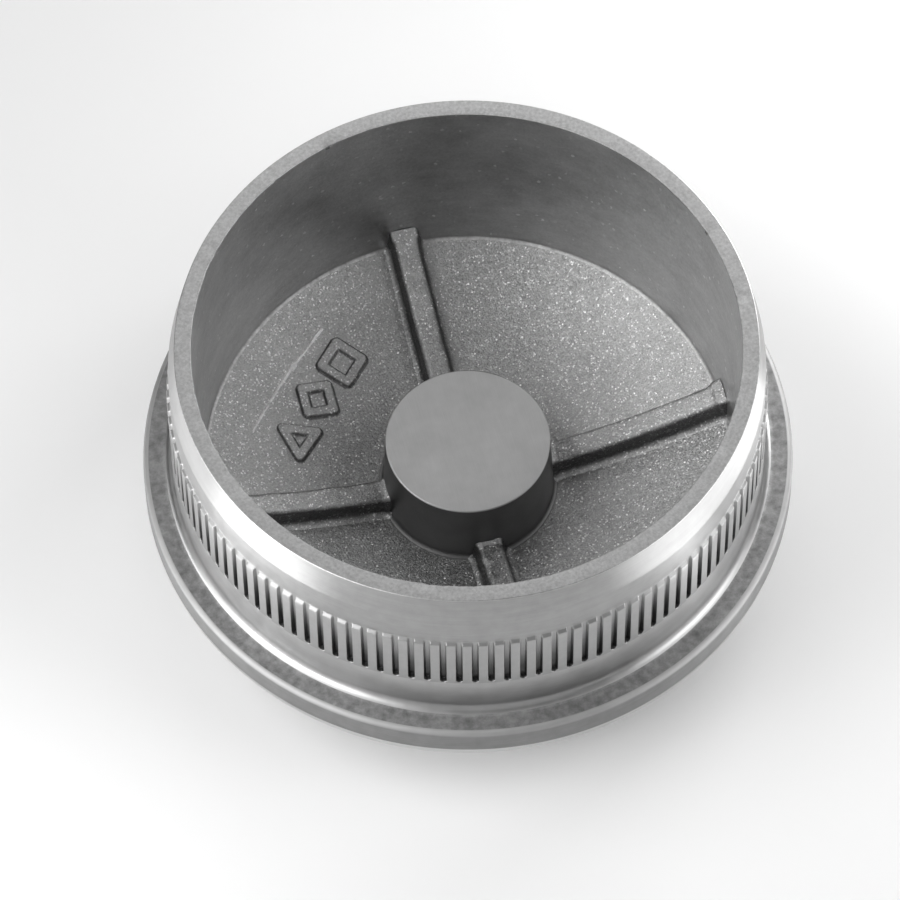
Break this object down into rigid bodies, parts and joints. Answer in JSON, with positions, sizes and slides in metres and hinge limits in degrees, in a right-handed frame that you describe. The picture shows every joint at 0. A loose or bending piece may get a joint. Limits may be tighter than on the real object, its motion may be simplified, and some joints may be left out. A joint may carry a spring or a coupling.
{
  "type": "tube end cap",
  "caption": "Round drive-in end cap for tube: a domed, flanged head and a short hollow spigot with a knurled band, with ribs across the floor and a central boss.",
  "frame": {"origin": "lowest point of the domed face, on the cap's axis", "axes": "+Z along the cap's axis, from the domed face towards the open rim; +Y along rib 1"},
  "size_m": [0.0424, 0.0424, 0.0199],
  "materials": {
    "cast_steel": "as cast, bead blasted",
    "turned_steel": "fine turned, satin",
    "ground_steel": "ground flat, satin"
  },
  "bodies": {
    "root": {"domed_face": "cast_steel", "flange_ring": "turned_steel", "spigot_wall": "turned_steel", "plain_band": "turned_steel", "knurled_band": "turned_steel", "gate_boss": "ground_steel", "rib_1": "cast_steel", "rib_2": "cast_steel", "rib_3": "cast_steel", "rib_4": "cast_steel", "cast_marks": "cast_steel"}
  },
  "joints": []
}
